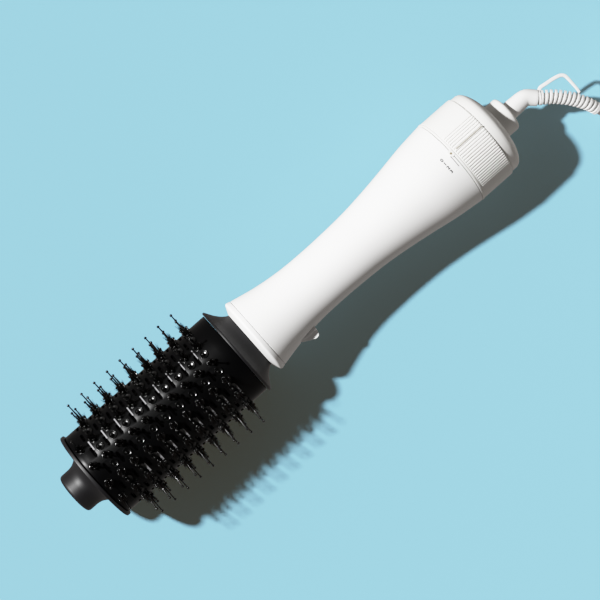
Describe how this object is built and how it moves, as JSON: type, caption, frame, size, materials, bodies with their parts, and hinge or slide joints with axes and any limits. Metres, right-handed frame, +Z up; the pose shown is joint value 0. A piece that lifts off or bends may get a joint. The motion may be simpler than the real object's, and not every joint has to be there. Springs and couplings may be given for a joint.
{
  "type": "hot air brush",
  "caption": "Corded hot air styling brush: an oval vented bristle barrel that pulls off a round handle with a heater, a fan, a ring dial, a release button and a swivelling cord.",
  "frame": {"origin": "bottom centre of the brush's own box, without the free cord: on the ground under the middle of the brush as it lies", "axes": "+X from the bristle barrel towards the cord, level with the ground; +Z up from the ground; +Y to the side away from the release button"},
  "size_m": [0.5299, 0.1567, 0.0889],
  "materials": {
    "barrel_gloss": "gloss black barrel",
    "charcoal": "satin charcoal moulding",
    "bristle_black": "black nylon pins and boar tufts",
    "handle_white": "satin white moulding",
    "dial_white": "satin white, slightly warmer, ribbed",
    "cord_white": "white flexible moulding",
    "inner_plastic": "black inner moulding",
    "mica": "mica board",
    "heater_wire": "resistance wire",
    "steel": "zinc-plated steel",
    "brass": "brass contacts",
    "board": "circuit board",
    "tie": "black hook-and-loop tie"
  },
  "bodies": {
    "handle": {"handle_upper": "handle_white", "handle_lower": "handle_white", "front_collar": "handle_white", "outlet_tube": "inner_plastic", "heater_sleeve": "mica", "heater_plate_flat": "mica", "heater_plate_upright": "mica", "heater_coil": "heater_wire", "thermostat": "steel", "thermal_fuse": "steel", "fan_duct": "inner_plastic", "motor_can": "steel", "motor_end_bell": "inner_plastic", "circuit_board": "board", "rear_housing": "inner_plastic", "slide_switch": "inner_plastic", "rear_cap": "dial_white", "intake_filter": "inner_plastic", "cap_screw_1": "steel", "cap_screw_2": "steel", "swivel_socket": "handle_white", "contact_holder": "inner_plastic", "cord_lead": "cord_white", "cord_coil": "cord_white", "coil_tie": "tie", "cord_tail": "cord_white", "plug_body": "cord_white", "plug_pin_1": "brass", "plug_pin_2": "brass", "button_spring": "steel"},
    "brush_head": {"barrel": "barrel_gloss", "front_plate": "charcoal", "cool_tip": "charcoal", "tip_screw": "steel", "air_deflector": "inner_plastic", "head_neck": "charcoal", "bristle_row_01": "bristle_black", "bristle_row_02": "bristle_black", "bristle_row_03": "bristle_black", "bristle_row_04": "bristle_black", "bristle_row_05": "bristle_black", "bristle_row_06": "bristle_black", "bristle_row_07": "bristle_black", "bristle_row_08": "bristle_black", "bristle_row_09": "bristle_black", "bristle_row_10": "bristle_black", "bristle_row_11": "bristle_black", "bristle_row_12": "bristle_black", "bristle_row_13": "bristle_black", "bristle_row_14": "bristle_black"},
    "release_button": {"release_button": "handle_white"},
    "fan": {"fan_impeller": "inner_plastic", "motor_shaft": "steel"},
    "dial": {"dial_ring": "dial_white", "switch_slider": "handle_white"},
    "swivel": {"swivel_elbow": "cord_white", "swivel_clip": "steel", "slip_contact": "brass", "strain_relief": "cord_white", "hang_loop": "cord_white"}
  },
  "joints": [
    {"name": "head_release", "type": "slide", "parent": "handle", "child": "brush_head", "axis": [-0.9991, 0, 0.0423], "range_m": [0, 0.042]},
    {"name": "button_press", "type": "slide", "parent": "handle", "child": "release_button", "axis": [0, 1, 0], "range_m": [0, 0.0022], "stiffness_N_per_m": 500, "springref_m": -0.001, "deforming": ["button_spring"]},
    {"name": "dial_turn", "type": "hinge", "parent": "handle", "child": "dial", "pos_m": [0.12728, 0, 0.03307], "axis": [0.9991, 0, -0.0423], "range_deg": [0, 19.5]},
    {"name": "fan_spin", "type": "hinge", "parent": "handle", "child": "fan", "pos_m": [0.09601, 0, 0.03439], "axis": [0.9991, 0, -0.0423], "continuous": true},
    {"name": "cord_swivel", "type": "hinge", "parent": "handle", "child": "swivel", "pos_m": [0.15895, 0, 0.03173], "axis": [0.9991, 0, -0.0423], "continuous": true, "deforming": ["cord_lead"]}
  ]
}
